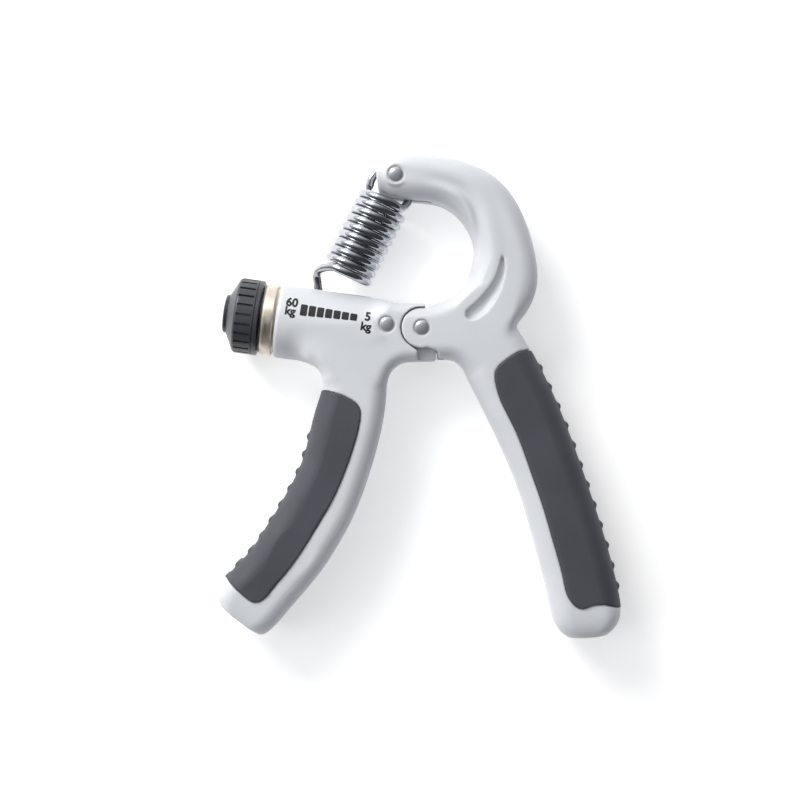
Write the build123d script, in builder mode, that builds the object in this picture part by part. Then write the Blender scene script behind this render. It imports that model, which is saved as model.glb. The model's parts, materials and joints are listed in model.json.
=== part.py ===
"""Adjustable hand grip strengthener, lying on its back.

Two moulded handles are hinged to each other. The right handle carries a C-shaped
arm over the hinge, and a tension spring runs from the arm's tip down into a tube on
the left handle. A knob at the tube's end turns a lead screw, which shifts the
carriage the spring is hooked to and so sets the force.

Millimetres. X to the right, Y towards the arm, Z up out of the front face. The part
rests on Z = 0, with the origin under the middle of its outline.
"""
import os
from math import cos, radians, sin, sqrt

from build123d import *

# ---------------------------------------------------------------- driving sizes
MID_Z = 12.6                 # height of the plane the part is symmetric about
GRIP_HALF = 12.6             # half thickness over the rubber grips
BODY_HALF = 11.9             # half thickness of the moulded handles
HINGE_X, HINGE_Y = 0.6, 22.7   # hinge axis

LIMB_ROUND = 6.0             # corner radius of the handles' section
BLOCK_ROUND = 5.0            # rounding of the edges beside the hinge
GRIP_DEPTH = 2.2             # how deep the rubber is let into the handles

KNUCKLE_R = 6.6              # round knuckle of the right handle
SOCKET_R = 6.95              # hollow in the left handle that the knuckle turns in
TONGUE_HALF = 7.0            # half thickness of the left handle's middle tongue
FORK_HALF = 7.35             # half width of the gap between the right handle's cheeks
FORK_R = 12.5                # reach of that gap from the hinge axis

TUBE_TILT = 8.0              # the tube slopes down to the right by this angle
TUBE_END_X, TUBE_END_Y = -48.0, 2.75   # centre of the tube's open end, from the hinge
TUBE_R = 12.3
TUBE_LENGTH = 36.0
BORE_R = 8.6
BORE_DEPTH = 31.6
SLOT_WIDTH = 3.6
SLOT_START, SLOT_END = 5.2, 30.7

RIVET_HEAD_R = 2.5
RIVET_R = 2.0
RIVET_SINK = 1.2             # depth of the round recess each rivet head sits in
ANCHOR_X, ANCHOR_Y = -11.4, 1.1
PLATE_HALF = 2.0             # half thickness of the steel hinge plate
PLATE_R = 4.2
SPRING_PIN_X, SPRING_PIN_Y = -8.5, 50.1
SPRING_PIN_R = 1.8

WIRE = 2.9
COIL_R = 7.7                 # to the middle of the wire
COIL_PITCH = 2.98
COIL_START = 8.2             # from the spring pin to the first coil's middle
COIL_ANGLE = 242.5           # direction of the spring from its pin
LOOP_R = 7.1
LOOP_SLOT_HALF = 1.8

SCREW_R = 3.5
SCREW_PITCH = 1.25
JOURNAL_R = 3.0
HOOK_ABOVE = 5.9             # the spring's hook above the screw's axis
CARRIAGE_AT = 13.7           # carriage's middle, from the tube's open end
CARRIAGE_LENGTH = 5.0
HOOK_X = TUBE_END_X + CARRIAGE_AT * cos(radians(TUBE_TILT)) + HOOK_ABOVE * sin(radians(TUBE_TILT))
HOOK_Y = TUBE_END_Y - CARRIAGE_AT * sin(radians(TUBE_TILT)) + HOOK_ABOVE * cos(radians(TUBE_TILT))

COLLAR_R = 12.1
COLLAR_LENGTH = 5.0
KNOB_R = 12.5
KNOB_START = 5.5             # from the tube's open end to the knob
KNOB_LENGTH = 10.8
KNOB_RIBS = 24
CAP_R = 6.4
FIT = 0.05                   # radial clearance of a running fit

# ---------------------------------------------------------------- working planes
HINGE = (HINGE_X, HINGE_Y, MID_Z)
hinge_plane = Plane(origin=HINGE)
TUBE_DIR = (cos(radians(TUBE_TILT)), -sin(radians(TUBE_TILT)), 0)
tube_origin = (HINGE_X + TUBE_END_X, HINGE_Y + TUBE_END_Y, MID_Z)
# The tube plane looks along the tube; its y axis is the tube's upper side.
tube_plane = Plane(origin=tube_origin, x_dir=(0, 0, -1), z_dir=TUBE_DIR)
# The tube side plane holds profiles: x along the tube, y away from its axis.
tube_side = Plane(origin=tube_origin, x_dir=TUBE_DIR, z_dir=(0, 0, 1))
tube_axis = Axis(tube_origin, TUBE_DIR)
SPRING_PIN = (HINGE_X + SPRING_PIN_X, HINGE_Y + SPRING_PIN_Y, MID_Z)
SPRING_DIR = (cos(radians(COIL_ANGLE)), sin(radians(COIL_ANGLE)), 0)
# The spring plane has its x axis along the spring and its y axis across it.
spring_side = Plane(origin=SPRING_PIN, x_dir=SPRING_DIR, z_dir=(0, 0, 1))

# ---------------------------------------------------------------- limb sections
# Each row is one cross-section, seen from the front and measured from the hinge:
# inner x, inner y, outer x, outer y, half thickness as a share of the full one.
ARM_SECTIONS = [
    (-13.2, 45.9, -13.6, 54.3, 0.86),
    (-11.0, 44.0, -10.6, 56.3, 0.96),
    (-7.0, 43.0, -7.0, 57.3, 1),
    (0.1, 42.4, 0.2, 57.3, 1),
    (8.9, 40.1, 16.8, 53.9, 1),
    (15.3, 33.6, 30.7, 42.6, 1),
    (17.6, 24.9, 37.4, 24.9, 1),
    (15.4, 16.4, 36.0, 7.6, 1),
    (5.0, 1.0, 31.0, -3.0, 1),
]
RIGHT_SECTIONS = [
    (13.0, 7.5, 27.5, 5.5, 1),
    (11.6, -6.0, 31.9, -0.6, 1),
    (14.6, -14.5, 34.8, -5.3, 1),
    (19.3, -24.1, 39.6, -14.2, 1),
    (26.9, -40.1, 47.2, -31.2, 1),
    (33.3, -56.1, 53.7, -49.1, 1),
    (37.9, -72.1, 59.3, -66.1, 1),
    (42.1, -88.1, 63.9, -83.0, 1),
    (43.3, -94.0, 65.3, -90.0, 1),
    (44.3, -97.6, 65.6, -94.4, 0.98),
    (46.0, -100.3, 64.3, -98.2, 0.91),
    (48.8, -102.3, 61.4, -101.3, 0.78),
]
LEFT_SECTIONS = [
    (-11.2, -14.0, -32.6, -14.0, 1),
    (-11.5, -20.1, -32.6, -20.1, 1),
    (-12.6, -30.1, -34.9, -27.6, 1),
    (-15.4, -42.1, -37.2, -37.0, 1),
    (-20.7, -58.1, -41.4, -49.1, 1),
    (-29.1, -74.1, -48.6, -61.9, 1),
    (-38.0, -86.2, -55.4, -72.4, 1),
    (-45.0, -94.4, -62.0, -79.7, 1),
    (-47.6, -97.4, -65.2, -83.6, 0.99),
    (-50.2, -99.9, -66.8, -87.2, 0.94),
    (-53.2, -101.4, -66.4, -91.6, 0.82),
]


def limb(sections, half, corner, outer_inset=0.0, inner_inset=0.0):
    """Loft a handle limb through rounded rectangles, one per row of sections."""
    with BuildPart() as solid:
        for inner_x, inner_y, outer_x, outer_y, share in sections:
            across = Vector(outer_x - inner_x, outer_y - inner_y, 0)
            unit = across.normalized()
            start = Vector(*HINGE) + Vector(inner_x, inner_y, 0) + unit * inner_inset
            end = Vector(*HINGE) + Vector(outer_x, outer_y, 0) - unit * outer_inset
            width = (end - start).length
            height = 2 * half * share
            place = Plane(origin=(start + end) * 0.5, x_dir=unit, z_dir=unit.cross(Vector(0, 0, 1)))
            with BuildSketch(place):
                RectangleRounded(width, height, min(corner, 0.46 * width, 0.46 * height))
        loft()
        # the lofted skin swells a little at the tapered ends, so the flats are cut true
        with BuildSketch(hinge_plane.offset(-half)):
            Rectangle(300, 300)
        extrude(amount=2 * half, mode=Mode.INTERSECT)
    return solid.part


def hinge_prism(points, half=20.0, low=None):
    """An upright prism over a closed outline given from the hinge axis."""
    bottom = -half if low is None else low
    with BuildPart() as solid:
        with BuildSketch(hinge_plane.offset(bottom)):
            with BuildLine():
                Polyline(*points, close=True)
            make_face()
        extrude(amount=half - bottom)
    return solid.part


def z_cylinder(at_x, at_y, radius, low, high):
    """A cylinder along Z, placed from the hinge axis, between two heights from mid plane."""
    with BuildPart() as solid:
        with BuildSketch(hinge_plane.offset(low)):
            with Locations((at_x, at_y)):
                Circle(radius)
        extrude(amount=high - low)
    return solid.part


def tube_cylinder(radius, start, end):
    """A cylinder along the tube's axis between two distances from its open end."""
    with BuildPart() as solid:
        with BuildSketch(tube_plane.offset(start)):
            Circle(radius)
        extrude(amount=end - start)
    return solid.part


def tube_turned(points):
    """A solid turned about the tube's axis from (along, radius) points."""
    with BuildPart() as solid:
        with BuildSketch(tube_side):
            with BuildLine():
                Polyline(*points, close=True)
            make_face()
        revolve(axis=tube_axis)
    return solid.part


def rivet(radius, head_radius, half_length, at_x, at_y):
    """A rivet with a domed head at each end, along Z, placed from the hinge axis."""
    head = head_radius * 0.42
    dome = (head_radius ** 2 + head ** 2) / (2 * head)
    half_way = head_radius / 2
    half_rise = half_length + head - dome + sqrt(dome ** 2 - half_way ** 2)
    centre = (HINGE_X + at_x, HINGE_Y + at_y, MID_Z)
    with BuildPart() as solid:
        with BuildSketch(Plane(origin=centre, x_dir=(1, 0, 0), z_dir=(0, -1, 0))):
            with BuildLine():
                Line((0, -half_length - head), (0, half_length + head))
                ThreePointArc(
                    (0, half_length + head), (half_way, half_rise), (head_radius, half_length)
                )
                Polyline(
                    (head_radius, half_length),
                    (radius, half_length),
                    (radius, -half_length),
                    (head_radius, -half_length),
                )
                ThreePointArc(
                    (head_radius, -half_length), (half_way, -half_rise), (0, -half_length - head)
                )
            make_face()
        revolve(axis=Axis(centre, (0, 0, 1)))
    return solid.part


def rivet_hole(at_x, at_y, radius, head_radius):
    """The through hole and both head recesses for a rivet."""
    floor = BODY_HALF - RIVET_SINK
    hole = z_cylinder(at_x, at_y, radius, -20, 20)
    hole += z_cylinder(at_x, at_y, head_radius, floor, 20)
    hole += z_cylinder(at_x, at_y, head_radius, -20, -floor)
    return hole


# ---------------------------------------------------------------- right handle
arm = limb(ARM_SECTIONS, BODY_HALF, LIMB_ROUND)
right_limb = limb(RIGHT_SECTIONS, BODY_HALF, LIMB_ROUND)

with BuildPart() as right_block:
    with BuildSketch(hinge_plane.offset(-BODY_HALF)):
        with BuildLine():
            ThreePointArc((0, 7.4), (9.0, 9.9), (15.4, 16.4))
            Polyline((15.4, 16.4), (24, 8), (26, -6), (14.6, -14.5))
            ThreePointArc((14.6, -14.5), (12.3, -11.5), (8.6, -10.2))
            Polyline((8.6, -10.2), (-8, -10.8), (-8, 7.4), (0, 7.4))
        make_face()
    extrude(amount=2 * BODY_HALF)
    rims = [
        edge for edge in right_block.edges()
        if abs(abs(edge.center().Z - MID_Z) - BODY_HALF) < 0.01 and edge.center().X < HINGE_X + 14
        and (edge.center().Y > HINGE_Y + 8 or edge.center().Y < HINGE_Y - 10)
    ]
    fillet(rims, BLOCK_ROUND)

# everything left of the knuckle, in the two outer layers
knuckle_clear = hinge_prism(
    [(2.2, 14), (2.2, 2), (0, 0), (1.7, -6.3), (5.3, -7.6), (5.3, -16), (-14, -16), (-14, 14)]
)
knuckle_clear -= z_cylinder(0, 0, KNUCKLE_R, -20, 20)
# the fork between the cheeks
fork_clear = z_cylinder(0, 0, FORK_R, -FORK_HALF, FORK_HALF)
fork_clear += hinge_prism([(0, 16), (-14, 16), (-14, -16), (0, -16)], FORK_HALF)

# leaf-shaped recess in the arm's front and back
with BuildPart() as leaf:
    with BuildSketch(hinge_plane.offset(BODY_HALF - 1.3)):
        with BuildLine():
            Spline((26.4, 25.0), (23.2, 14.6), (15.4, 6.0), tangents=[(-0.1, -1), (-0.75, -0.66)])
            ThreePointArc((15.4, 6.0), (14.6, 3.6), (17.0, 2.8))
            Spline((17.0, 2.8), (23.6, 8.4), (27.0, 17.2), (26.4, 25.0), tangents=[(0.9, 0.3), (-0.3, 1)])
        make_face()
    extrude(amount=4)
leaf_back = mirror(leaf.part, about=hinge_plane)

# Grip regions, seen from the front. Each prism also cuts its grip's flat faces true, so
# the grips are lofted a little thicker than they end up.
with BuildPart() as right_region:
    with BuildSketch(hinge_plane.offset(-GRIP_HALF)):
        with BuildLine():
            Spline((34.0, -7.4), (28.6, -9.7), (25.0, -12.8), (23.9, -16.4), tangents=[(-1, -0.1), (0.1, -1)])
            Spline(
                (23.9, -16.4), (30.2, -32.8), (35.4, -46.4), (39.8, -59.2), (43.5, -71.9), (46.3, -82.4),
                tangents=[(0.1, -1), (0.2, -1)],
            )
            Spline((46.3, -82.4), (47.8, -88.0), (51.8, -91.9), (56.5, -90.7), tangents=[(0.2, -1), (0.9, 0.25)])
            Polyline((56.5, -90.7), (60.0, -90.6), (64.5, -91.8), (75, -93), (75, -40), (45, -7), (34.0, -7.4))
        make_face()
    extrude(amount=2 * GRIP_HALF)

with BuildPart() as left_region:
    with BuildSketch(hinge_plane.offset(-GRIP_HALF)):
        with BuildLine():
            Spline((-32.0, -20.6), (-28.6, -21.2), (-22.4, -24.0), (-20.0, -28.8), tangents=[(1, 0.0), (-0.1, -1)])
            Spline(
                (-20.0, -28.8), (-22.4, -39.3), (-29.2, -56.4), (-34.8, -66.1), (-40.9, -75.6), (-47.3, -83.7),
                tangents=[(-0.1, -1), (-0.65, -0.76)],
            )
            Spline((-47.3, -83.7), (-51.1, -88.2), (-54.1, -89.8), (-56.7, -88.9), tangents=[(-0.65, -0.76), (-0.85, 0.5)])
            Polyline((-56.7, -88.9), (-60.5, -85.7), (-63.2, -83.1), (-70, -78), (-70, -60), (-45, -15), (-32.0, -20.6))
        make_face()
    extrude(amount=2 * GRIP_HALF)

right_core = limb(RIGHT_SECTIONS, BODY_HALF - GRIP_DEPTH, LIMB_ROUND - 1.5, outer_inset=GRIP_DEPTH)
left_core = limb(LEFT_SECTIONS, BODY_HALF - GRIP_DEPTH, LIMB_ROUND - 1.5, outer_inset=GRIP_DEPTH)

with BuildPart() as right_handle:
    add(right_limb)
    add(right_block)
    add(arm)
    add(right_region.part - right_core, mode=Mode.SUBTRACT)
    add(knuckle_clear, mode=Mode.SUBTRACT)
    add(fork_clear, mode=Mode.SUBTRACT)
    add(leaf, mode=Mode.SUBTRACT)
    add(leaf_back, mode=Mode.SUBTRACT)
    add(rivet_hole(0, 0, RIVET_R + 0.01, RIVET_HEAD_R + 0.25), mode=Mode.SUBTRACT)
    add(
        rivet_hole(SPRING_PIN_X, SPRING_PIN_Y, SPRING_PIN_R + FIT, RIVET_HEAD_R + 0.15),
        mode=Mode.SUBTRACT,
    )
    # slot at the arm's tip for the spring's loop
    add(
        hinge_prism(
            [(3.4, 38), (3.4, 50.5), (-1.0, 54.4), (-6.0, 55.6), (-20, 55.6), (-20, 38)],
            LOOP_SLOT_HALF,
        ),
        mode=Mode.SUBTRACT,
    )


def ridges(sections, first, last, count, inset):
    """Small cross ridges set evenly along a limb's outer edge."""
    edge_points = [(HINGE_X + row[2], HINGE_Y + row[3], MID_Z) for row in sections[1:]]
    line = Edge.make_spline([Vector(*point) for point in edge_points])
    bars = []
    for number in range(count):
        at = first + (last - first) * number / (count - 1)
        point = line.position_at(at)
        along = line.tangent_at(at)
        inward = Vector(0, 0, 1).cross(along) * inset
        place = Plane(origin=point + inward - Vector(0, 0, 7), x_dir=(1, 0, 0), z_dir=(0, 0, 1))
        with BuildPart() as bar:
            with BuildSketch(place):
                Circle(1.5)
            extrude(amount=14)
            fillet(bar.edges(), 1.1)
        bars.append(bar.part)
    return bars


with BuildPart() as right_grip:
    add(limb(RIGHT_SECTIONS, GRIP_HALF + 0.05, LIMB_ROUND + 1.5, outer_inset=-0.3))
    for ridge in ridges(RIGHT_SECTIONS, 0.132, 0.835, 12, -0.45):
        add(ridge)
    add(right_region, mode=Mode.INTERSECT)
    add(right_core, mode=Mode.SUBTRACT)

# ---------------------------------------------------------------- left handle
left_limb = limb(LEFT_SECTIONS, BODY_HALF, LIMB_ROUND)

# the neck below the tube and the nose beside the hinge
with BuildPart() as neck:
    with BuildSketch(hinge_plane.offset(-BODY_HALF)):
        with BuildLine():
            Line((-39.0, -4.0), (-39.0, -11.3))
            ThreePointArc((-39.0, -11.3), (-34.2, -13.5), (-32.5, -18.6))
            Line((-32.5, -18.6), (-11.3, -18.6))
            ThreePointArc((-11.3, -18.6), (-9.3, -13.4), (-3.8, -11.0))
            Polyline((-3.8, -11.0), (9.0, -10.7), (9.0, 8.1), (-7.0, 8.1))
            ThreePointArc((-7.0, 8.1), (-9.8, 8.6), (-12.5, 9.9))
            Polyline((-12.5, 9.9), (-16.5, 5.0), (-22.0, -4.0), (-39.0, -4.0))
        make_face()
    extrude(amount=2 * BODY_HALF)
    rims = [
        edge for edge in neck.edges()
        if abs(abs(edge.center().Z - MID_Z) - BODY_HALF) < 0.01 and edge.length > 6
        and abs(edge.center().Y - HINGE_Y + 18.6) > 0.1 and abs(edge.center().X - HINGE_X - 9) > 0.1
        and (edge.center().Y > HINGE_Y + 7.5 or edge.center().Y < HINGE_Y - 9)
    ]
    fillet(rims, BLOCK_ROUND - 1)

with BuildPart() as tube:
    with BuildSketch(tube_plane):
        Circle(TUBE_R)
    extrude(amount=TUBE_LENGTH)
    fillet(tube.edges().sort_by(Axis.X)[0], 1.3)

# the hollow for the knuckle in the two outer layers, and the front of the tongue
socket_clear = z_cylinder(0, 0, SOCKET_R, -20, 20)
socket_clear += hinge_prism(
    [(0, 0), (1.9, 6.0), (1.9, 14), (22, 14), (22, -16), (-1.3, -16), (-1.3, -7.7), (-4.7, -5.1)]
)
socket_clear -= z_cylinder(0, 0, 40, -TONGUE_HALF, TONGUE_HALF)
tongue_clear = hinge_prism([(1.2, 14), (22, 14), (22, -16), (4.7, -16), (4.7, -4.5), (1.2, 0)])
tongue_clear -= z_cylinder(0, 0, 6.5, -20, 20)

# the pocket for the hinge plate that is moulded into the tongue
with BuildPart() as plate_pocket:
    with BuildSketch(hinge_plane.offset(-PLATE_HALF)):
        with Locations((0, 0), (ANCHOR_X, ANCHOR_Y)):
            Circle(PLATE_R)
        make_hull()
    extrude(amount=2 * PLATE_HALF)

# the slot in the tube's upper side for the spring's lower leg
with BuildPart() as tube_slot:
    with BuildSketch(tube_plane.offset(SLOT_START)):
        with Locations((0, 10)):
            Rectangle(SLOT_WIDTH, 14)
    extrude(amount=SLOT_END - SLOT_START)

with BuildPart() as left_handle:
    add(left_limb)
    add(neck)
    add(tube)
    add(left_region.part - left_core, mode=Mode.SUBTRACT)
    add(socket_clear, mode=Mode.SUBTRACT)
    add(tongue_clear, mode=Mode.SUBTRACT)
    add(tube_cylinder(BORE_R, -1, BORE_DEPTH), mode=Mode.SUBTRACT)
    add(tube_slot, mode=Mode.SUBTRACT)
    add(plate_pocket, mode=Mode.SUBTRACT)
    add(z_cylinder(0, 0, RIVET_R + FIT, -20, 20), mode=Mode.SUBTRACT)
    add(rivet_hole(ANCHOR_X, ANCHOR_Y, RIVET_R + 0.01, RIVET_HEAD_R + 0.25), mode=Mode.SUBTRACT)

with BuildPart() as left_grip:
    add(limb(LEFT_SECTIONS, GRIP_HALF + 0.05, LIMB_ROUND + 1.5, outer_inset=-0.3))
    for ridge in ridges(LEFT_SECTIONS, 0.2, 0.88, 10, 0.45):
        add(ridge)
    add(left_region, mode=Mode.INTERSECT)
    add(left_core, mode=Mode.SUBTRACT)

with BuildPart() as hinge_plate:
    add(plate_pocket)
    add(z_cylinder(0, 0, RIVET_R + FIT, -20, 20), mode=Mode.SUBTRACT)
    add(z_cylinder(ANCHOR_X, ANCHOR_Y, RIVET_R + 0.01, -20, 20), mode=Mode.SUBTRACT)

# ---------------------------------------------------------------- rivets
HEAD_SEAT = BODY_HALF - RIVET_SINK + 0.02
pivot_pin = rivet(RIVET_R, RIVET_HEAD_R, HEAD_SEAT, 0, 0)
anchor_rivet = rivet(RIVET_R, RIVET_HEAD_R, HEAD_SEAT, ANCHOR_X, ANCHOR_Y)
spring_pin = rivet(SPRING_PIN_R, RIVET_HEAD_R - 0.15, HEAD_SEAT, SPRING_PIN_X, SPRING_PIN_Y)

# ---------------------------------------------------------------- force adjuster
collar_ring = tube_turned([
    (-COLLAR_LENGTH, 5.2), (-COLLAR_LENGTH, COLLAR_R - 1.1), (-COLLAR_LENGTH + 0.7, COLLAR_R - 0.3),
    (-COLLAR_LENGTH + 1.2, COLLAR_R), (-1.0, COLLAR_R), (-0.6, COLLAR_R - 0.4), (-0.6, COLLAR_R - 1.4),
    (0, COLLAR_R - 1.4), (0, 5.2),
])
end_bush = tube_turned([
    (-COLLAR_LENGTH + 0.5, JOURNAL_R + FIT), (-COLLAR_LENGTH + 0.5, 5.15), (0.02, 5.15), (0.02, BORE_R - 0.02),
    (2.4, BORE_R - 0.02), (2.4, JOURNAL_R + FIT),
])
thrust_washer = tube_turned([
    (-KNOB_START + 0.02, JOURNAL_R + 0.2), (-KNOB_START + 0.02, 8.0), (-COLLAR_LENGTH - 0.1, 8.0),
    (-COLLAR_LENGTH - 0.1, JOURNAL_R + 0.2),
])

KNOB_LEFT = -KNOB_START - KNOB_LENGTH
with BuildPart() as adjuster_knob:
    with BuildSketch(tube_side):
        with BuildLine():
            knob_rim = Polyline(
                (KNOB_LEFT, 0), (KNOB_LEFT, CAP_R + 0.3), (KNOB_LEFT + 2.5, KNOB_R - 0.9),
            )
            ThreePointArc(
                (KNOB_LEFT + 2.5, KNOB_R - 0.9), (KNOB_LEFT + 2.9, KNOB_R - 0.3), (KNOB_LEFT + 3.6, KNOB_R)
            )
            Polyline(
                (KNOB_LEFT + 3.6, KNOB_R), (-KNOB_START - 1.7, KNOB_R), (-KNOB_START - 1.6, KNOB_R - 0.3),
                (-KNOB_START - 1.4, KNOB_R - 0.3), (-KNOB_START - 1.3, KNOB_R), (-KNOB_START - 0.3, KNOB_R),
                (-KNOB_START, KNOB_R - 0.3), (-KNOB_START, 0), (KNOB_LEFT, 0),
            )
        make_face()
    revolve(axis=tube_axis)
    add(tube_cylinder(JOURNAL_R + 0.01, -KNOB_START - 7.0, 0), mode=Mode.SUBTRACT)
    # a seat for the cap, and the hole of the screw under it
    add(tube_cylinder(CAP_R - 0.8, KNOB_LEFT - 1, KNOB_LEFT + 2.4), mode=Mode.SUBTRACT)
    add(tube_cylinder(1.51, KNOB_LEFT - 1, -KNOB_START), mode=Mode.SUBTRACT)
    # grooves between the finger pads
    with BuildSketch(tube_plane.offset(KNOB_LEFT + 3.4)):
        with PolarLocations(KNOB_R, KNOB_RIBS):
            Rectangle(1.6, 0.85)
    extrude(amount=5.2, mode=Mode.SUBTRACT)

knob_cap = tube_turned([
    (KNOB_LEFT - 1.3, 0), (KNOB_LEFT - 1.3, CAP_R - 0.5), (KNOB_LEFT - 0.9, CAP_R), (KNOB_LEFT - 0.01, CAP_R),
    (KNOB_LEFT - 0.01, CAP_R - 0.85), (KNOB_LEFT + 1.0, CAP_R - 0.85), (KNOB_LEFT + 1.0, CAP_R - 1.8),
    (KNOB_LEFT, CAP_R - 1.8), (KNOB_LEFT, 0),
])
knob_screw = tube_turned([
    (KNOB_LEFT + 0.6, 0), (KNOB_LEFT + 0.6, 2.2), (KNOB_LEFT + 1.0, 2.7), (KNOB_LEFT + 2.38, 2.7),
    (KNOB_LEFT + 2.38, 1.5), (KNOB_LEFT + 7.6, 1.5), (KNOB_LEFT + 7.6, 0),
])

# lead screw: journal, clip groove, then a thread stood in for by rings one pitch apart
CLIP_AT = 2.6
THREAD_START = 4.0
THREAD_END = 31.2
screw_line = [
    (-KNOB_START - 6.98, 0), (-KNOB_START - 6.98, JOURNAL_R), (CLIP_AT, JOURNAL_R), (CLIP_AT, 2.4),
    (CLIP_AT + 0.7, 2.4), (CLIP_AT + 0.7, JOURNAL_R), (THREAD_START, JOURNAL_R),
]
for turn in range(int((THREAD_END - THREAD_START) / SCREW_PITCH)):
    crest = THREAD_START + SCREW_PITCH * turn
    screw_line += [
        (crest + 0.45, SCREW_R), (crest + 0.8, SCREW_R), (crest + SCREW_PITCH, JOURNAL_R - 0.2),
    ]
screw_line += [(THREAD_END, 2.2), (THREAD_END, 0)]
with BuildPart() as lead_screw:
    add(tube_turned(screw_line))
    add(tube_cylinder(1.51, KNOB_LEFT, KNOB_LEFT + 7.8), mode=Mode.SUBTRACT)

with BuildPart() as retaining_clip:
    with BuildSketch(tube_plane.offset(CLIP_AT + 0.05)):
        Circle(5.2)
        Circle(2.42, mode=Mode.SUBTRACT)
        with Locations((0, -4)):
            Rectangle(3.0, 5.0, mode=Mode.SUBTRACT)
    extrude(amount=0.6)

# ---------------------------------------------------------------- carriage
with BuildPart() as spring_carriage:
    with BuildSketch(tube_plane.offset(CARRIAGE_AT - CARRIAGE_LENGTH / 2)):
        Circle(BORE_R - 0.3)
        Circle(SCREW_R + FIT, mode=Mode.SUBTRACT)
    extrude(amount=CARRIAGE_LENGTH)
    # the way in for the spring's leg, and the cross hole its hook lies in
    with BuildSketch(tube_plane.offset(CARRIAGE_AT - 1.9)):
        with Locations((0, HOOK_ABOVE + 3.2)):
            Rectangle(3.5, 10.0)
    extrude(amount=3.8, mode=Mode.SUBTRACT)
    add(z_cylinder(HOOK_X, HOOK_Y, WIRE / 2 + 0.2, 0, 12), mode=Mode.SUBTRACT)

# ---------------------------------------------------------------- tension spring
COIL_FIRST = 35.0            # turning angle at which the coils start, in degrees
COIL_LAST = 3375.0           # and at which they end; +90 faces the front


def coil_point(angle):
    """A point on the coils' centre line: along the spring, across it, and up."""
    turn = radians(angle)
    return (COIL_START + COIL_PITCH * angle / 360, COIL_R * cos(turn), COIL_R * sin(turn))


def loop_point(angle):
    """A point on the top loop, which hangs on the pin in the spring's own plane."""
    turn = radians(angle)
    middle = LOOP_R - WIRE / 2 - SPRING_PIN_R - 0.02
    return (middle - LOOP_R * cos(turn), LOOP_R * sin(turn), 0)


with BuildPart() as spring_coil:
    with BuildLine(spring_side):
        coil_path = Spline(
            *[loop_point(-112 + 18.5 * step) for step in range(11)],
            loop_point(92),
            (6.6, 7.2, 1.6),
            *[coil_point(COIL_FIRST + 30 * step) for step in range(int((COIL_LAST - COIL_FIRST) / 30))],
        )
    with BuildSketch(Plane(origin=coil_path @ 0, z_dir=coil_path % 0)):
        Circle(WIRE / 2)
    sweep(is_frenet=True)

# the hook's centre, seen along and across the spring
hook_reach = Vector(HOOK_X - SPRING_PIN_X, HOOK_Y - SPRING_PIN_Y, 0)
HOOK_ALONG = hook_reach.dot(Vector(*SPRING_DIR))
HOOK_ACROSS = hook_reach.dot(Vector(-SPRING_DIR[1], SPRING_DIR[0], 0))
with BuildPart() as spring_foot:
    with BuildLine(spring_side):
        foot_path = Spline(
            coil_point(COIL_LAST - 29),
            coil_point(COIL_LAST - 15),
            coil_point(COIL_LAST),
            (COIL_START + 30.2, -COIL_R - 0.4, 2.7),
            (COIL_START + 32.2, -COIL_R - 0.8, 0.6),
            (COIL_START + 34.4, -COIL_R + 0.4, 0),
            (COIL_START + 36.6, -COIL_R + 2.0, 0),
            (HOOK_ALONG - 3.4, HOOK_ACROSS - 1.6, 0),
            (HOOK_ALONG - 1.7, HOOK_ACROSS - 0.6, 0.1),
            (HOOK_ALONG - 0.3, HOOK_ACROSS - 0.1, 1.2),
            (HOOK_ALONG, HOOK_ACROSS, 2.4),
            (HOOK_ALONG, HOOK_ACROSS, 3.3),
        )
    with BuildSketch(Plane(origin=foot_path @ 0, z_dir=foot_path % 0)):
        Circle(WIRE / 2)
    sweep(is_frenet=True)

# ---------------------------------------------------------------- files
PARTS = {
    "left_handle": left_handle.part,
    "left_grip": left_grip.part,
    "hinge_plate": hinge_plate.part,
    "anchor_rivet": anchor_rivet,
    "collar_ring": collar_ring,
    "end_bush": end_bush,
    "thrust_washer": thrust_washer,
    "adjuster_knob": adjuster_knob.part,
    "knob_cap": knob_cap,
    "knob_screw": knob_screw,
    "lead_screw": lead_screw.part,
    "retaining_clip": retaining_clip.part,
    "spring_carriage": spring_carriage.part,
    "right_handle": right_handle.part,
    "right_grip": right_grip.part,
    "pivot_pin": pivot_pin,
    "spring_pin": spring_pin,
    "spring_coil": spring_coil.part,
    "spring_foot": spring_foot.part,
}
os.makedirs("parts", exist_ok=True)
for name, solid in PARTS.items():
    solid.label = name
    export_step(solid, f"parts/{name}.step")
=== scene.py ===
"""Looks of the adjustable hand grip strengthener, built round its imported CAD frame.

Everything is in metres, in the frame of the CAD model. The part lies on its back,
X to the right, Y towards the C-shaped arm, Z up out of the front face.
"""
import json
from math import atan2, cos, exp, pi, radians, sin

import bmesh
import bpy
from mathutils import Matrix, Vector
from mathutils.bvhtree import BVHTree


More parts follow.
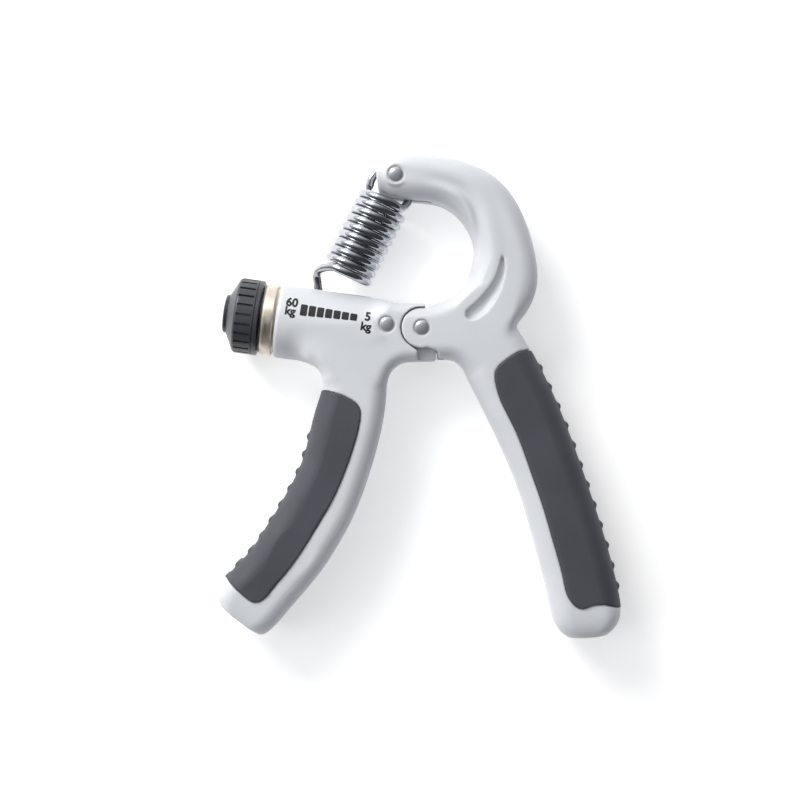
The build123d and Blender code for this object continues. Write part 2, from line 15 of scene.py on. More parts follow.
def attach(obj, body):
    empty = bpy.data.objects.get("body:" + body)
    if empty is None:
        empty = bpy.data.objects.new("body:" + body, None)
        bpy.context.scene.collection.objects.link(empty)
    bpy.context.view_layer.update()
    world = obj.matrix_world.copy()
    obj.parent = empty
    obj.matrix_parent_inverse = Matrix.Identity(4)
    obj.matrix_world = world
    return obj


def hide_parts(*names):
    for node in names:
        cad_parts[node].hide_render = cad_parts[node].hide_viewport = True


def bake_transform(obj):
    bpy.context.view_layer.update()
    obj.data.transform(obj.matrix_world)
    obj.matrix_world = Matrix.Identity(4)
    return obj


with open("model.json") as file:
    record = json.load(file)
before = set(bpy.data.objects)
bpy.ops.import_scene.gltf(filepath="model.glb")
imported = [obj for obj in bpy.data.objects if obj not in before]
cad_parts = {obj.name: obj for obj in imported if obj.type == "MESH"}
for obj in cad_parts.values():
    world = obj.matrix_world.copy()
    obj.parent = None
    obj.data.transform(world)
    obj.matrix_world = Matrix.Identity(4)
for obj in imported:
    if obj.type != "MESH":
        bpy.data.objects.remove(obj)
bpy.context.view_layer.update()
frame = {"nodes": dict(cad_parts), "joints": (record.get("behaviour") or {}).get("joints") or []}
nodes = frame["nodes"]
joints = {joint["name"]: joint for joint in frame["joints"]}
MM = 0.001

# Light, set by how bright the floor and the mouldings come out. ROOM_SHADES gives the
# room's tone by how far a direction points towards ROOM_BRIGHT_SIDE. Powers are in watts.
FLOOR_GLOW = 0.4
ROOM_STRENGTH = 1.0
ROOM_BRIGHT_SIDE = (-0.45, 0.75, 0.15)
ROOM_SHADES = [
    (0.0, (0.06, 0.06, 0.07, 1)),
    (0.25, (0.15, 0.155, 0.165, 1)),
    (0.5, (0.45, 0.46, 0.48, 1)),
    (0.72, (1.0, 1.0, 1.0, 1)),
]
KEY_POWER = 8.0
SIDE_POWER = 2.5
OVERHEAD_POWER = 4.5

HINGE = Vector(joints["squeeze"]["pos_m"])
SPRING_PIN = Vector(joints["spring_swing"]["pos_m"])
SPRING_DIR = Vector(joints["spring_stretch"]["axis"]).normalized()
SPRING_SIDE = Vector((-SPRING_DIR.y, SPRING_DIR.x, 0))
TUBE_END = Vector(joints["knob_turn"]["pos_m"])
TUBE_DIR = Vector(joints["knob_turn"]["axis"]).normalized()
TUBE_UP = Vector((-TUBE_DIR.y, TUBE_DIR.x, 0))
FRONT = Vector((0, 0, 1))


# ---------------------------------------------------------------- materials
def linear(red, green, blue):
    """A linear colour from 0 to 255 display values."""
    values = []
    for value in (red, green, blue):
        share = value / 255
        if share <= 0.04045:
            values.append(share / 12.92)
        else:
            values.append(((share + 0.055) / 1.055) ** 2.4)
    return (*values, 1.0)


def new_material(name, roughness, metallic=0.0, specular=0.5):
    made = bpy.data.materials.new(name)
    made.use_nodes = True
    tree = made.node_tree
    shader = tree.nodes["Principled BSDF"]
    shader.inputs["Roughness"].default_value = roughness
    shader.inputs["Metallic"].default_value = metallic
    shader.inputs["Specular IOR Level"].default_value = specular
    return made, tree, shader


def object_coordinates(tree, stretch=(1, 1, 1)):
    where = tree.nodes.new("ShaderNodeTexCoord")
    scaled = tree.nodes.new("ShaderNodeMapping")
    scaled.inputs["Scale"].default_value = stretch
    tree.links.new(where.outputs["Object"], scaled.inputs["Vector"])
    return scaled.outputs["Vector"]


def noise(tree, coordinates, scale, detail=3.0, roughness=0.5):
    made = tree.nodes.new("ShaderNodeTexNoise")
    made.inputs["Scale"].default_value = scale
    made.inputs["Detail"].default_value = detail
    made.inputs["Roughness"].default_value = roughness
    tree.links.new(coordinates, made.inputs["Vector"])
    return made.outputs["Fac"]


def ramp(tree, factor, stops):
    made = tree.nodes.new("ShaderNodeValToRGB")
    points = made.color_ramp.elements
    while len(points) < len(stops):
        points.new(0.5)
    for point, (position, colour) in zip(points, stops):
        point.position = position
        point.color = colour
    tree.links.new(factor, made.inputs["Fac"])
    return made.outputs["Color"]


def grey(value):
    return (value, value, value, 1.0)


def bump(tree, shader, height, distance, strength=1.0, under=None):
    made = tree.nodes.new("ShaderNodeBump")
    made.inputs["Distance"].default_value = distance
    made.inputs["Strength"].default_value = strength
    tree.links.new(height, made.inputs["Height"])
    if under is not None:
        tree.links.new(under, made.inputs["Normal"])
    tree.links.new(made.outputs["Normal"], shader.inputs["Normal"])
    return made.outputs["Normal"]


# noise scales are per metre, and bump depths in metres
CLOUD_SCALE, GLOSS_SCALE, PATCH_SCALE = 45, 160, 220
GLOSS_SWING = 0.06
WAVE_SCALE, WAVE_DEPTH, WAVE_STRENGTH = 70, 0.0004, 0.25
GRAIN_STRENGTH, STREAK_STRENGTH = 0.5, 0.3
DULLED_TINT = 0.82


def moulded_plastic(name, dark, light, roughness, grain_scale, grain_depth):
    """Moulded plastic: cloudy tone, fine spark grain, and a slightly uneven gloss."""
    made, tree, shader = new_material(name, roughness)
    where = object_coordinates(tree)
    tone = noise(tree, where, CLOUD_SCALE, 4)
    tree.links.new(ramp(tree, tone, [(0.3, dark), (0.7, light)]), shader.inputs["Base Color"])
    gloss = noise(tree, where, GLOSS_SCALE, 3)
    low, high = grey(roughness - GLOSS_SWING), grey(roughness + GLOSS_SWING)
    tree.links.new(ramp(tree, gloss, [(0.3, low), (0.7, high)]), shader.inputs["Roughness"])
    grain = noise(tree, where, grain_scale, 2, 0.6)
    waves = noise(tree, where, WAVE_SCALE, 2)
    under = bump(tree, shader, waves, WAVE_DEPTH, WAVE_STRENGTH)
    bump(tree, shader, grain, grain_depth, GRAIN_STRENGTH, under)
    return made


def polished_metal(name, tint, roughness, streak_scale, streak_depth, stretch, metallic=1.0):
    """Plated or turned metal: fine streaks along the work, and duller patches."""
    made, tree, shader = new_material(name, roughness, metallic)
    where = object_coordinates(tree, stretch)
    streaks = noise(tree, where, streak_scale, 4, 0.6)
    patches = noise(tree, object_coordinates(tree), PATCH_SCALE, 3)
    dull = tuple(part * DULLED_TINT for part in tint[:3]) + (1.0,)
    tree.links.new(ramp(tree, patches, [(0.35, dull), (0.65, tint)]), shader.inputs["Base Color"])
    low, high = grey(roughness * 0.7), grey(roughness * 1.4)
    tree.links.new(ramp(tree, streaks, [(0.3, low), (0.7, high)]), shader.inputs["Roughness"])
    bump(tree, shader, streaks, streak_depth, STREAK_STRENGTH)
    return made


LOOKS = {
    "handle": moulded_plastic(
        "handle_plastic", linear(210, 213, 217), linear(216, 219, 222), 0.42, 2600, 0.00003
    ),
    "rubber": moulded_plastic(
        "grip_rubber", linear(68, 69, 76), linear(76, 77, 84), 0.6, 3200, 0.00005
    ),
    "knob": moulded_plastic(
        "knob_plastic", linear(56, 57, 62), linear(68, 69, 74), 0.34, 2400, 0.00003
    ),
    "cap": moulded_plastic(
        "cap_plastic", linear(44, 45, 50), linear(54, 55, 60), 0.28, 2400, 0.00002
    ),
    "print": moulded_plastic(
        "print_ink", linear(18, 18, 20), linear(26, 26, 28), 0.45, 1500, 0.00001
    ),
    "chrome": polished_metal(
        "rivet_chrome", linear(226, 228, 232), 0.16, 500, 0.00001, (1, 1, 1), 0.72
    ),
    "spring": polished_metal("spring_chrome", linear(206, 209, 214), 0.1, 420, 0.00001, (1, 1, 1)),
    "nickel": polished_metal(
        "nickel_plate", linear(244, 234, 220), 0.5, 900, 0.00001, (1, 0.25, 0.25)
    ),
    "steel": polished_metal("steel", linear(188, 190, 193), 0.34, 700, 0.00002, (1, 0.2, 1)),
    "brass": polished_metal(
        "turned_brass", linear(214, 184, 122), 0.3, 800, 0.00002, (1, 0.3, 0.3)
    ),
}
NODE_LOOKS = {
    "left_handle": "handle",
    "right_handle": "handle",
    "left_grip": "rubber",
    "right_grip": "rubber",
    "hinge_plate": "steel",
    "anchor_rivet": "chrome",
    "pivot_pin": "chrome",
    "spring_pin": "chrome",
    "collar_ring": "nickel",
    "end_bush": "brass",
    "thrust_washer": "steel",
    "adjuster_knob": "knob",
    "knob_cap": "cap",
    "knob_screw": "steel",
    "lead_screw": "steel",
    "retaining_clip": "steel",
    "spring_carriage": "brass",
    "spring_coil": "spring",
    "spring_foot": "spring",
}
for node, look in NODE_LOOKS.items():
    shown = nodes[node]
    shown.data.materials.clear()
    shown.data.materials.append(LOOKS[look])


# ---------------------------------------------------------------- mesh helpers
def piece(name, mesh, look):
    made = bpy.data.objects.new(name, mesh)
    bpy.context.scene.collection.objects.link(made)
    mesh.materials.clear()
    mesh.materials.append(LOOKS[look])
    return made


def smooth_line(points, steps):
    """Points on a smooth curve through the given points, with even tangents."""
    line = []
    last = len(points) - 1
    for index in range(last):
        start, end = points[index], points[index + 1]
        reach = (end - start).length
        before = points[max(index - 1, 0)]
        after = points[min(index + 2, last)]
        leaving = (end - before).normalized() * reach
        arriving = (after - start).normalized() * reach
        for step in range(steps):
            t = step / steps
            line.append(
                start * (2 * t**3 - 3 * t**2 + 1)
                + leaving * (t**3 - 2 * t**2 + t)
                + end * (3 * t**2 - 2 * t**3)
                + arriving * (t**3 - t**2)
            )
    line.append(points[last].copy())
    return line


# a domed end's rings: how far each stands out and how big it is, as shares of the radius
WIRE_END = ((0.4, 0.85), (0.8, 0.5))


def wire(name, line, radius, sides, look):
    """A round wire with domed ends along a line of points."""
    work = bmesh.new()
    across = (line[1] - line[0]).orthogonal().normalized()
    rings = []
    for index, point in enumerate(line):
        ahead = line[min(index + 1, len(line) - 1)] - line[max(index - 1, 0)]
        ahead.normalize()
        across = (across - ahead * across.dot(ahead)).normalized()
        side = ahead.cross(across)
        radii = [(0, radius)]
        if index == 0:
            radii = [(-out * radius, share * radius) for out, share in WIRE_END[::-1]] + radii
        if index == len(line) - 1:
            radii = radii + [(out * radius, share * radius) for out, share in WIRE_END]
        for shift, size in radii:
            ring = []
            for corner in range(sides):
                turn = 2 * pi * corner / sides
                ring.append(work.verts.new(
                    point + ahead * shift + size * (across * cos(turn) + side * sin(turn))
                ))
            rings.append(ring)
    for ring, following in zip(rings, rings[1:]):
        for corner in range(sides):
            beyond = (corner + 1) % sides
            work.faces.new((ring[corner], ring[beyond], following[beyond], following[corner]))
    work.faces.new(list(reversed(rings[0])))
    work.faces.new(rings[-1])
    mesh = bpy.data.meshes.new(name)
    work.to_mesh(mesh)
    work.free()
    for face in mesh.polygons:
        face.use_smooth = True
    return piece(name, mesh, look)


def applied(made):
    """Bakes an object's modifiers into its mesh."""
    graph = bpy.context.evaluated_depsgraph_get()
    graph.update()
    mesh = bpy.data.meshes.new_from_object(made.evaluated_get(graph))
    made.modifiers.clear()
    made.data = mesh
    return made


WELD = 0.002 * MM
SOFTENING = 0.5


def moulded(node, voxel, passes, look):
    """A moulding with softened edges, from one CAD node. It stands for that node."""
    mesh = nodes[node].data.copy()
    work = bmesh.new()
    work.from_mesh(mesh)
    bmesh.ops.remove_doubles(work, verts=work.verts, dist=WELD)
    work.to_mesh(mesh)
    work.free()
    made = piece(node + "_moulding", mesh, look)
    remesh = made.modifiers.new("even", "REMESH")
    remesh.mode = "VOXEL"
    remesh.voxel_size = voxel
    remesh.use_smooth_shade = True
    soften = made.modifiers.new("soften", "SMOOTH")
    soften.factor = SOFTENING
    soften.iterations = passes
    applied(made)
    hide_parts(node)
    return made


def from_hinge(x, y):
    """A point given in millimetres from the hinge, on the part's middle plane."""
    return HINGE + Vector((x, y, 0)) * MM


def eased(value):
    value = min(max(value, 0.0), 1.0)
    return value * value * (3 - 2 * value)


def line_distance(point, start, end):
    """Distance seen from the front between a point and a straight line's nearest part."""
    reach = (end - start).to_2d()
    share = (point - start).to_2d().dot(reach) / max(reach.length_squared, 1e-12)
    nearest = start.to_2d() + reach * min(max(share, 0.0), 1.0)
    return (point.to_2d() - nearest).length


MELT_FADE = 1.6
SPARED_FADE = 0.8 * MM


def melted(made, strips, spared, passes):
    """Smooths a moulding hard along some strips, where one form runs into another.

    A strip is a start, an end and a radius. Round spots, each a middle and a radius, are spared.
    """
    made.vertex_groups.clear()
    group = made.vertex_groups.new(name="melt")
    for vertex in made.data.vertices:
        weight = 0.0
        for start, end, radius in strips:
            near = line_distance(vertex.co, start, end) / radius
            weight = max(weight, eased(MELT_FADE - MELT_FADE * near))
        for middle, radius in spared:
            away = (vertex.co - middle).to_2d().length - radius
            weight *= eased(away / SPARED_FADE)
        if weight > 0:
            group.add([vertex.index], weight, "REPLACE")
    soften = made.modifiers.new("melt", "SMOOTH")
    soften.vertex_group = "melt"
    soften.factor = SOFTENING
    soften.iterations = passes
    applied(made)
    made.vertex_groups.clear()


# ---------------------------------------------------------------- handles and grips
MOULD_VOXEL, MOULD_PASSES = 0.45 * MM, 3
RUBBER_VOXEL, RUBBER_PASSES = 0.4 * MM, 2
left_moulding = moulded("left_handle", MOULD_VOXEL, MOULD_PASSES, "handle")
right_moulding = moulded("right_handle", MOULD_VOXEL, MOULD_PASSES, "handle")
left_rubber = moulded("left_grip", RUBBER_VOXEL, RUBBER_PASSES, "rubber")
right_rubber = moulded("right_grip", RUBBER_VOXEL, RUBBER_PASSES, "rubber")

# Edges between the tube, the nose, the neck and the limbs are melted a little, and the
# places where one form flows into the next much more.
ANCHOR = from_hinge(-11.4, 1.1)
RECESS_R = 3.4 * MM
EDGE_PASSES, FLOW_PASSES = 70, 320
melted(
    left_moulding,
    [
        (from_hinge(-39.7, -3.5), from_hinge(-12.0, -4.0), 3.4 * MM),
        (from_hinge(-39.7, -3.5), from_hinge(-39.7, -11.0), 3.4 * MM),
        (from_hinge(-12.0, -4.0), from_hinge(-11.6, -1.0), 2.6 * MM),
        (from_hinge(-17.3, 4.0), from_hinge(-17.3, -3.5), 3.0 * MM),
        (from_hinge(-33.0, -18.4), from_hinge(-27.0, -18.4), 2.0 * MM),
        (from_hinge(-17.0, -18.4), from_hinge(-11.0, -18.4), 3.0 * MM),
    ],
    [(ANCHOR, RECESS_R)],
    EDGE_PASSES,
)
melted(
    left_moulding,
    [
        (from_hinge(-38.5, -4.5), from_hinge(-38.5, -11.5), 6.5 * MM),
        (from_hinge(-37.0, -4.0), from_hinge(-20.0, -3.0), 4.5 * MM),
        (from_hinge(-18.0, 3.0), from_hinge(-12.6, 10.0), 4.0 * MM),
    ],
    [(ANCHOR, RECESS_R)],
    FLOW_PASSES,
)
melted(
    right_moulding,
    [
        (from_hinge(14.6, -14.6), from_hinge(20.0, -11.2), 3.0 * MM),
        (from_hinge(27.0, -2.5), from_hinge(32.5, 1.5), 3.8 * MM),
    ],
    [(HINGE, RECESS_R)],
    EDGE_PASSES,
)

# The C-shaped arm: a rounder tip, and a soft valley that runs beside its inner edge
# with a low swell outside it.
FACE_HALF = 11.9 * MM
OPENING = from_hinge(0, 25)
TIP_START = from_hinge(-11.6, 50)
TIP_GROWTH = 1.5 * MM
VALLEY_DEPTH, SWELL, LIP = 0.8 * MM, 0.22 * MM, 0.4 * MM
VALLEY_WIDTH, SWELL_WIDTH, LIP_WIDTH = 1.7 * MM, 2.4 * MM, 1.3 * MM
SWELL_OUT, LIP_IN = 4.2 * MM, 2.4 * MM
# the valley's distance from the opening's middle, in millimetres, and how much it widens
VALLEY_R, VALLEY_WIDENING = 20.0, 3.9
WIDENS_FROM, WIDENS_OVER = radians(10), radians(50)
# the valley starts near the hinge and ends at the arm's top
STARTS_AT, STARTS_OVER = radians(-38), radians(30)
ENDS_AT, ENDS_OVER = radians(96), radians(40)


def bell(distance, width):
    return exp(-((distance / width) ** 2))


def arm_relief(point):
    """How far the arm's face rises or sinks at a point."""
    from_middle = point - OPENING
    angle = atan2(from_middle.y, from_middle.x)
    widening = VALLEY_WIDENING * eased((angle - WIDENS_FROM) / WIDENS_OVER)
    outward = from_middle.to_2d().length - (VALLEY_R + widening) * MM
    along = eased((angle - STARTS_AT) / STARTS_OVER) * eased((ENDS_AT - angle) / ENDS_OVER)
    rise = (
        SWELL * bell(outward - SWELL_OUT, SWELL_WIDTH)
        + LIP * bell(outward + LIP_IN, LIP_WIDTH)
        - VALLEY_DEPTH * bell(outward, VALLEY_WIDTH)
    )
    return rise * along


SEAT_R, SEAT_REACH, SEAT_DEPTH = 2.9 * MM, 4.2 * MM, 0.6 * MM
SEAT_WALL, SEAT_FADE = 0.4 * MM, 0.8 * MM
SEAT_LOWEST = 9.8 * MM


def seat_rivets(made, middles):
    """Draws a moulding's faces in to a crisp round edge close beside each rivet head."""
    for vertex in made.data.vertices:
        above = vertex.co.z - HINGE.z
        if abs(above) < SEAT_LOWEST:
            continue
        side = 1 if above > 0 else -1
        for middle in middles:
            away = (vertex.co - middle).to_2d().length
            if away < SEAT_REACH:
                sunk = SEAT_DEPTH * eased((SEAT_R - away) / SEAT_WALL)
                level = FACE_HALF * side - side * sunk
                share = eased((SEAT_REACH - away) / SEAT_FADE)
                vertex.co.z += share * (HINGE.z + level - vertex.co.z)


# A leaf-shaped hollow lies across the root of the arm. It is made deeper by
# LEAF_DEEPENING of its depth. The arm's tip grows a little, most at its middle.
LEAF = [from_hinge(15.2, 3.4), from_hinge(22.6, 13.6), from_hinge(27.2, 25.6)]
LEAF_HALF, LEAF_WALL, LEAF_DEEPENING = 3.0 * MM, 0.6 * MM, 0.7
LEAF_LEAST, LEAF_DEEPEST = 0.03 * MM, 4 * MM
RELIEF_LOWEST, RELIEF_FADE = 4 * MM, 5 * MM
TIP_BACK, TIP_HALF, TIP_FADE = 8 * MM, 7.5 * MM, 2 * MM
for vertex in right_moulding.data.vertices:
    spot = vertex.co.copy()
    above = spot.z - HINGE.z
    side = 1 if above > 0 else -1
    if spot.y > HINGE.y and abs(above) > 3 * MM:
        near_face = eased((abs(above) - RELIEF_LOWEST) / RELIEF_FADE)
        vertex.co.z += side * near_face * arm_relief(spot)
    leaf_gap = min(
        line_distance(spot, LEAF[0], LEAF[1]),
        line_distance(spot, LEAF[1], LEAF[2]),
    )
    depth = FACE_HALF - abs(above)
    if leaf_gap < LEAF_HALF and LEAF_LEAST < depth < LEAF_DEEPEST:
        inside = eased((LEAF_HALF - leaf_gap) / LEAF_WALL)
        vertex.co.z -= side * LEAF_DEEPENING * depth * inside
    if spot.x < TIP_START.x and spot.y > TIP_START.y - TIP_BACK:
        round_off = 1 - ((spot.y - TIP_START.y) / TIP_HALF) ** 2
        past = eased((TIP_START.x - spot.x) / TIP_FADE)
        vertex.co.x -= TIP_GROWTH * max(round_off, 0) * past

seat_rivets(left_moulding, [ANCHOR])
seat_rivets(right_moulding, [HINGE, SPRING_PIN])

for made, body, slot in (
    (left_moulding, "left", "handle_plastic"),
    (right_moulding, "right", "handle_plastic"),
    (left_rubber, "left", "grip_rubber"),
    (right_rubber, "right", "grip_rubber"),
):
    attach(made, body)

# ---------------------------------------------------------------- rivets
# heights are measured from the part's middle plane
RIVET_R, RIM_Z, DOME_TOP, RIM_DEPTH = 2.5 * MM, 11.5 * MM, 12.5 * MM, 0.3 * MM
SHANK_R, SPRING_PIN_SHANK_R = 2.0 * MM, 1.8 * MM
DOME_STEPS, ROUND_STEPS = 8, 48
RIM_ANGLE = radians(50)


def rivet(name, middle, shank_r, cad_node):
    """A rivet with a domed head on each face. It stands for one CAD node."""
    half = [(shank_r, RIM_Z - RIM_DEPTH), (RIVET_R, RIM_Z - RIM_DEPTH)]
    for step in range(DOME_STEPS):
        rise = pi / 2 * step / DOME_STEPS
        half.append((RIVET_R * cos(rise), RIM_Z + (DOME_TOP - RIM_Z) * sin(rise)))
    outline = [(radius, -height) for radius, height in reversed(half)] + half
    work = bmesh.new()
    rings = []
    for radius, height in outline:
        rings.append([
            work.verts.new(middle + Vector((
                radius * cos(2 * pi * step / ROUND_STEPS),
                radius * sin(2 * pi * step / ROUND_STEPS),
                height,
            )))
            for step in range(ROUND_STEPS)
        ])
    for ring, following in zip(rings, rings[1:]):
        for step in range(ROUND_STEPS):
            beyond = (step + 1) % ROUND_STEPS
            work.faces.new((ring[step], ring[beyond], following[beyond], following[step]))
    for ring, side in ((rings[0], -1), (rings[-1], 1)):
        pole = work.verts.new(middle + FRONT * side * DOME_TOP)
        for step in range(ROUND_STEPS):
            beyond = (step + 1) % ROUND_STEPS
            corners = (ring[step], ring[beyond], pole)
            work.faces.new(corners if side > 0 else tuple(reversed(corners)))
    mesh = bpy.data.meshes.new(name)
    work.to_mesh(mesh)
    work.free()
    for face in mesh.polygons:
        face.use_smooth = True
    mesh.set_sharp_from_angle(angle=RIM_ANGLE)
    made = piece(name, mesh, "chrome")
    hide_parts(cad_node)
    return made


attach(rivet("anchor_rivet_domed", ANCHOR, SHANK_R, "anchor_rivet"), "left")
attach(rivet("pivot_pin_domed", HINGE, SHANK_R, "pivot_pin"), "right")
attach(rivet("spring_pin_domed", SPRING_PIN, SPRING_PIN_SHANK_R, "spring_pin"), "spring_top")

# ---------------------------------------------------------------- spring
# Along the spring is measured from the spring pin, and across it from the spring's axis.
WIRE_R = 1.45 * MM
WIRE_SIDES, LINE_STEPS = 14, 4
COIL_R = 7.7 * MM
COIL_PITCH = 2.98 * MM
COIL_START, COIL_LENGTH = 8.2 * MM, 29 * MM
COIL_TURNS, STEPS_PER_TURN = 9.3, 16
FIRST_TURN = radians(35)
LOOP_R = 7.1 * MM
LOOP_MIDDLE = 3.83 * MM
LOOP_FROM, LOOP_STEP, LOOP_POINTS = -112, 18.5, 12
HOOK_ALONG_TUBE, HOOK_ABOVE_AXIS = 13.7 * MM, 5.9 * MM


def spring_point(along, across, up):
    return SPRING_PIN + SPRING_DIR * along + SPRING_SIDE * across + FRONT * up


def coil_point(turn):
    along = COIL_START + COIL_PITCH * turn / (2 * pi)
    return spring_point(along, COIL_R * cos(turn), COIL_R * sin(turn))


loop_turns = [radians(LOOP_FROM + LOOP_STEP * step) for step in range(LOOP_POINTS)]
loop = [
    spring_point(LOOP_MIDDLE - LOOP_R * cos(turn), LOOP_R * sin(turn), 0)
    for turn in loop_turns
]
into_coils = spring_point(6.6 * MM, 7.2 * MM, 1.6 * MM)
coils = [
    coil_point(FIRST_TURN + 2 * pi * step / STEPS_PER_TURN)
    for step in range(round(COIL_TURNS * STEPS_PER_TURN))
]
hook = TUBE_END + TUBE_DIR * HOOK_ALONG_TUBE + TUBE_UP * HOOK_ABOVE_AXIS
hook_along = (hook - SPRING_PIN).dot(SPRING_DIR)
hook_across = (hook - SPRING_PIN).dot(SPRING_SIDE)
# the leg leaves the last coil, runs down to the tube and hooks into the carriage
foot = [
    spring_point(COIL_START + 30.2 * MM, -COIL_R - 0.4 * MM, 2.7 * MM),
    spring_point(COIL_START + 32.2 * MM, -COIL_R - 0.8 * MM, 0.6 * MM),
    spring_point(COIL_START + 34.4 * MM, -COIL_R + 0.4 * MM, 0),
    spring_point(COIL_START + 36.6 * MM, -COIL_R + 2.0 * MM, 0),
    spring_point(hook_along - 3.4 * MM, hook_across - 1.6 * MM, 0),
    spring_point(hook_along - 1.7 * MM, hook_across - 0.6 * MM, 0.1 * MM),
    spring_point(hook_along - 0.3 * MM, hook_across - 0.1 * MM, 1.2 * MM),
    spring_point(hook_along, hook_across, 2.4 * MM),
    spring_point(hook_along, hook_across, 3.3 * MM),
]
spring_line = smooth_line([*loop, into_coils, *coils, *foot], LINE_STEPS)
spring = wire("tension_spring", spring_line, WIRE_R, WIRE_SIDES, "spring")
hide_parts("spring_coil", "spring_foot")
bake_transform(spring)

# ---------------------------------------------------------------- printed force scale
skin = bmesh.new()
skin.from_mesh(left_moulding.data)
skin_tree = BVHTree.FromBMesh(skin)
PRINT_FILM = 0.12 * MM
PRINT_EDGE = 0.35 * MM
ABOVE_ALL = 0.06


def laid_on_tube(name, outlines):
    """A thin printed film: flat meshes dropped onto the front of the tube."""
    work = bmesh.new()
    for mesh, place in outlines:
        start = len(work.verts)
        work.from_mesh(mesh)
        work.verts.ensure_lookup_table()
        for vertex in work.verts[start:]:
            vertex.co = place @ vertex.co
    bmesh.ops.triangulate(work, faces=work.faces)
    for _ in range(2):
        long_edges = [edge for edge in work.edges if edge.calc_length() > PRINT_EDGE]
        bmesh.ops.subdivide_edges(work, edges=long_edges, cuts=1)
        bmesh.ops.triangulate(work, faces=work.faces)
    top = list(work.faces)
    for vertex in work.verts:
        above = Vector((vertex.co.x, vertex.co.y, ABOVE_ALL))
        hit = skin_tree.ray_cast(above, -FRONT)[0]
        vertex.co.z = hit.z + 0.5 * PRINT_FILM
    lower = bmesh.ops.extrude_face_region(work, geom=top)["geom"]
    for item in lower:
        if isinstance(item, bmesh.types.BMVert):
            item.co.z -= PRINT_FILM
    bmesh.ops.recalc_face_normals(work, faces=work.faces)
    made = bpy.data.meshes.new(name)
    work.to_mesh(made)
    work.free()
    return piece(name, made, "print")


def tube_place(along, up):
    """Where something printed lies: along the tube from its end, and above its axis."""
    spot = TUBE_END + TUBE_DIR * along + TUBE_UP * up
    angle = atan2(TUBE_DIR.y, TUBE_DIR.x)
    return Matrix.Translation(spot) @ Matrix.Rotation(angle, 4, "Z")


CORNER_STEPS = 3


def rounded_bar(width, height, corner):
    work = bmesh.new()
    ring = []
    for quarter, (side_x, side_y) in enumerate(((1, 1), (-1, 1), (-1, -1), (1, -1))):
        for step in range(CORNER_STEPS + 1):
            turn = pi / 2 * (quarter + step / CORNER_STEPS)
            ring.append(work.verts.new((
                side_x * (width / 2 - corner) + corner * cos(turn),
                side_y * (height / 2 - corner) + corner * sin(turn),
                0,
            )))
    work.faces.new(ring)
    mesh = bpy.data.meshes.new("bar")
    work.to_mesh(mesh)
    work.free()
    return mesh


LETTER_WEIGHT = 0.04


def lettering(words, height):
    """Plain sans-serif figures as a flat mesh, centred, with the given overall height."""
    curve = bpy.data.curves.new("figures", "FONT")
    curve.body = words
    curve.align_x = "CENTER"
    curve.align_y = "CENTER"
    curve.offset = LETTER_WEIGHT
    curve.resolution_u = 4
    holder = bpy.data.objects.new("figures", curve)
    bpy.context.scene.collection.objects.link(holder)
    bpy.context.view_layer.update()
    graph = bpy.context.evaluated_depsgraph_get()
    mesh = bpy.data.meshes.new_from_object(holder.evaluated_get(graph))
    heights = [vertex.co.y for vertex in mesh.vertices]
    tall = max(heights) - min(heights)
    mesh.transform(Matrix.Scale(height / tall, 4))
    bpy.data.objects.remove(holder)
    return mesh


# bars that get shorter from the tube's end to the hinge, in millimetres
BARS = 7
BAR_WIDTH, BAR_CORNER, BAR_UP = 2.3, 0.35, 4.2
TALLEST, BAR_DROP = 3.75, 1.45
FIRST_BAR, BAR_SPAN = 9.0, 16.4
marks = []
for bar in range(BARS):
    share = bar / (BARS - 1)
    tall = (TALLEST - BAR_DROP * share) * MM
    marks.append((
        rounded_bar(BAR_WIDTH * MM, tall, BAR_CORNER * MM),
        tube_place((FIRST_BAR + BAR_SPAN * share) * MM, BAR_UP * MM),
    ))
# figures: what each says, its height, and where it lies along and above the tube's axis
for words, height, along, up in (
    ("60", 3.15, 4.8, 6.1),
    ("kg", 3.75, 4.6, 3.2),
    ("5", 3.0, 30.0, 4.9),
    ("kg", 3.75, 29.8, 1.6),
):
    marks.append((lettering(words, height * MM), tube_place(along * MM, up * MM)))
scale_print = laid_on_tube("force_scale_print", marks)
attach(scale_print, "left")

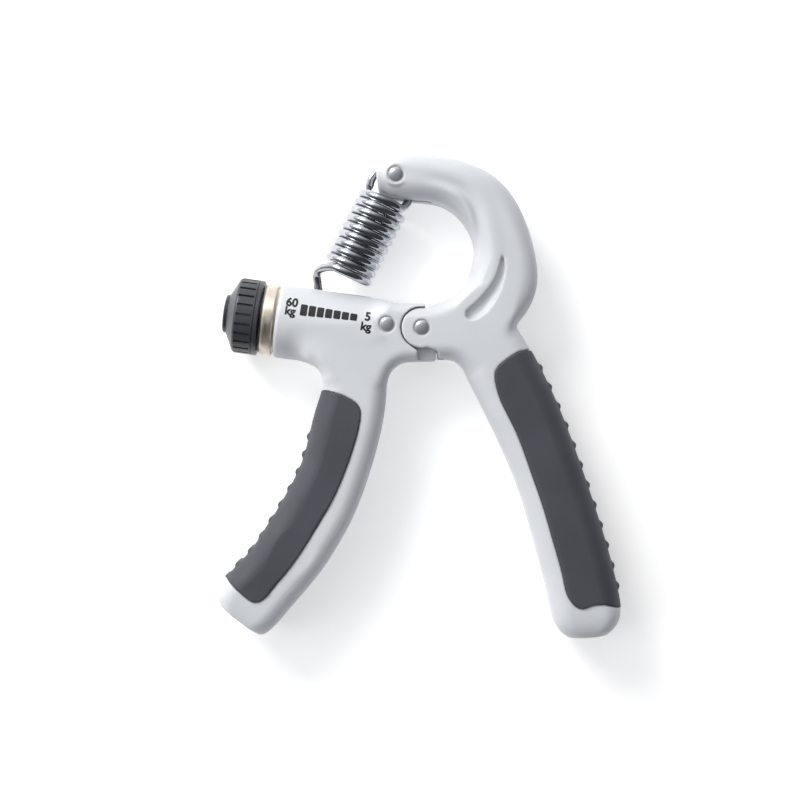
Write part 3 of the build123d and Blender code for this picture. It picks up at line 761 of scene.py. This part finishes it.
# ---------------------------------------------------------------- floor, light, camera
FLOOR_HALF, FLOOR_Z = 1.5, -0.0002
floor_mesh = bpy.data.meshes.new("floor")
floor_mesh.from_pydata(
    [(-FLOOR_HALF, -FLOOR_HALF, 0), (FLOOR_HALF, -FLOOR_HALF, 0),
     (FLOOR_HALF, FLOOR_HALF, 0), (-FLOOR_HALF, FLOOR_HALF, 0)],
    [], [(0, 1, 2, 3)],
)
LOOKS["floor"] = moulded_plastic(
    "floor_paint", linear(240, 240, 240), linear(244, 244, 244), 0.9, 300, 0.00001
)
floor_shader = LOOKS["floor"].node_tree.nodes["Principled BSDF"]
floor_shader.inputs["Emission Color"].default_value = (1, 1, 1, 1)
floor_shader.inputs["Emission Strength"].default_value = FLOOR_GLOW
floor = piece("floor", floor_mesh, "floor")
floor.location.z = FLOOR_Z

# The room is brightest beyond the part's upper left, and dark overhead and to its lower right.
world = bpy.data.worlds.new("studio")
world.use_nodes = True
room = world.node_tree
bpy.context.scene.world = world
direction = room.nodes.new("ShaderNodeTexCoord")
towards = room.nodes.new("ShaderNodeVectorMath")
towards.operation = "DOT_PRODUCT"
towards.inputs[1].default_value = ROOM_BRIGHT_SIDE
room.links.new(direction.outputs["Generated"], towards.inputs[0])
shade = ramp(room, towards.outputs["Value"], ROOM_SHADES)
room.links.new(shade, room.nodes["Background"].inputs["Color"])
room.nodes["Background"].inputs["Strength"].default_value = ROOM_STRENGTH


def soft_light(name, spot, size, power):
    lamp = bpy.data.lights.new(name, "AREA")
    lamp.shape = "RECTANGLE"
    lamp.size, lamp.size_y = size
    lamp.energy = power
    made = bpy.data.objects.new(name, lamp)
    made.location = spot
    made.rotation_mode = "QUATERNION"
    made.rotation_quaternion = (-Vector(spot)).to_track_quat("-Z", "Y")
    bpy.context.scene.collection.objects.link(made)
    return made


# The side and overhead lights brighten the plastic, and don't show in the plating.
soft_light("key", (-0.55, 0.75, 0.65), (0.5, 0.5), KEY_POWER)
soft_light("side", (-0.9, -0.1, 0.6), (0.5, 0.8), SIDE_POWER).visible_glossy = False
soft_light("overhead", (-0.1, 0.05, 1.3), (1.2, 1.2), OVERHEAD_POWER).visible_glossy = False
bpy.context.scene.view_settings.view_transform = "Standard"

CAMERA_HEIGHT = 0.558
VIEW_X, VIEW_Y = -6.5 * MM, -1.0 * MM
camera = bpy.data.cameras.new("camera")
camera.sensor_width = 36
camera.lens = 75.3
viewer = bpy.data.objects.new("camera", camera)
viewer.location = (VIEW_X, VIEW_Y, HINGE.z + CAMERA_HEIGHT)
bpy.context.scene.collection.objects.link(viewer)
bpy.context.scene.camera = viewer
